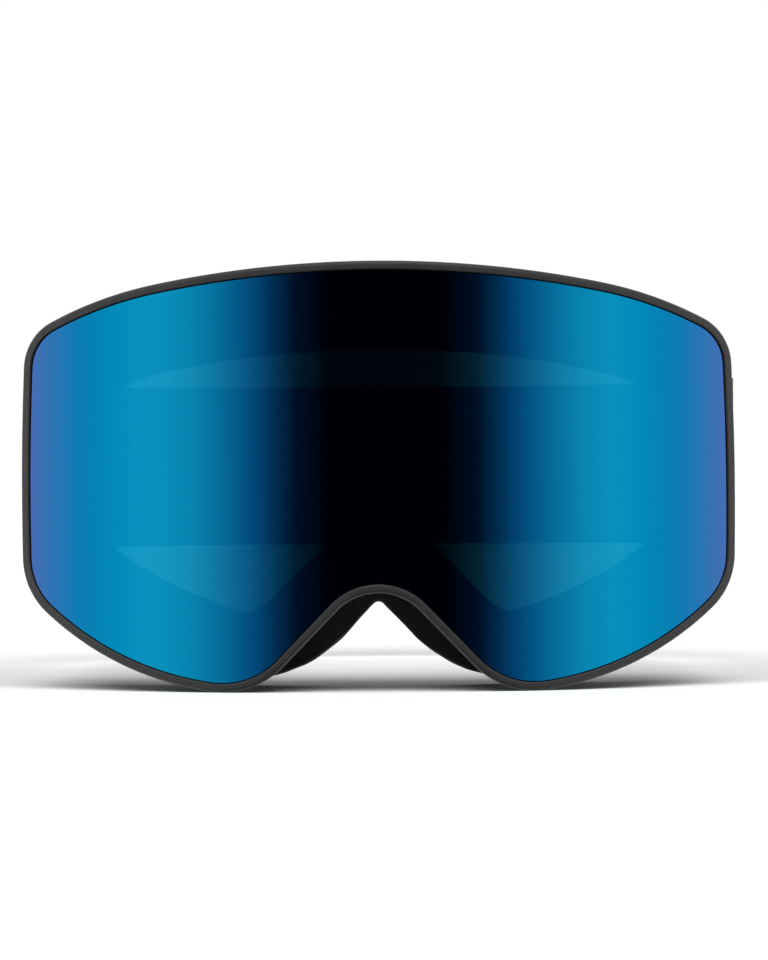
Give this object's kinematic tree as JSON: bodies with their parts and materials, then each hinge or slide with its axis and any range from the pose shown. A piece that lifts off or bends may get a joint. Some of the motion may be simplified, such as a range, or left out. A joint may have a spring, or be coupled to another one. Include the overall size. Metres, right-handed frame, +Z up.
{
  "type": "ski goggles",
  "caption": "Ski goggles with a cylindrical blue mirrored lens held by magnets in a slim charcoal frame, layered face foam, hinged outriggers and an adjustable elastic strap.",
  "frame": {"origin": "on the surface that the goggles stand on, under the middle of the whole object, strap included", "axes": "+X to the right as seen from in front of the lens, +Y from the lens back towards the strap, +Z up"},
  "size_m": [0.181, 0.2512, 0.1033],
  "materials": {
    "lens_mirror": "blue mirror coating on polycarbonate, polished",
    "lens_clear": "clear inner lens, polished",
    "carrier_plastic": "fine satin",
    "magnet_steel": "nickel plated",
    "gasket_foam": "closed-cell foam",
    "rim_plastic": "fine satin charcoal",
    "chassis_tpu": "soft matte",
    "vent_foam": "open-cell foam",
    "face_foam": "open-cell foam",
    "fleece": "brushed fleece",
    "strap_web": "woven elastic",
    "silicone": "translucent silicone bead",
    "pin_steel": "blackened steel",
    "outrigger_plastic": "fine satin",
    "slider_plastic": "fine satin"
  },
  "bodies": {
    "frame": {"front_rim": "rim_plastic", "frame_magnets": "magnet_steel", "chassis": "chassis_tpu", "top_vent_foam": "vent_foam", "bottom_vent_foam_left": "vent_foam", "bottom_vent_foam_right": "vent_foam", "face_foam_base": "face_foam", "face_foam_mid": "face_foam", "face_fleece": "fleece", "strap_back": "strap_web", "strap_grip": "silicone", "hinge_pin_left": "pin_steel", "hinge_pin_right": "pin_steel"},
    "lens_module": {"outer_lens": "lens_mirror", "lens_carrier": "carrier_plastic", "lens_magnets": "magnet_steel", "lens_gasket": "gasket_foam", "inner_lens": "lens_clear"},
    "outrigger_left": {"outrigger_left": "outrigger_plastic", "strap_anchor_left": "strap_web"},
    "slider_left": {"slider_left": "slider_plastic", "strap_tail_left": "strap_web"},
    "outrigger_right": {"outrigger_right": "outrigger_plastic", "strap_anchor_right": "strap_web"},
    "slider_right": {"slider_right": "slider_plastic", "strap_tail_right": "strap_web"}
  },
  "joints": [
    {"name": "lens_release", "type": "slide", "parent": "frame", "child": "lens_module", "axis": [0, -1, 0], "range_m": [0, 0.06]},
    {"name": "outrigger_hinge_left", "type": "hinge", "parent": "frame", "child": "outrigger_left", "pos_m": [-0.087, -0.05112, 0.055], "axis": [0, 0, 1], "range_deg": [-5, 15], "deforming": ["strap_anchor_left"]},
    {"name": "slider_left_slide", "type": "slide", "parent": "frame", "child": "slider_left", "axis": [0.061, 0.9981, 0], "range_m": [-0.007, 0.032], "deforming": ["strap_tail_left"]},
    {"name": "outrigger_hinge_right", "type": "hinge", "parent": "frame", "child": "outrigger_right", "pos_m": [0.087, -0.05112, 0.055], "axis": [0, 0, -1], "range_deg": [-5, 15], "deforming": ["strap_anchor_right"]},
    {"name": "slider_right_slide", "type": "slide", "parent": "frame", "child": "slider_right", "axis": [-0.061, 0.9981, 0], "range_m": [-0.007, 0.032], "deforming": ["strap_tail_right"]}
  ]
}
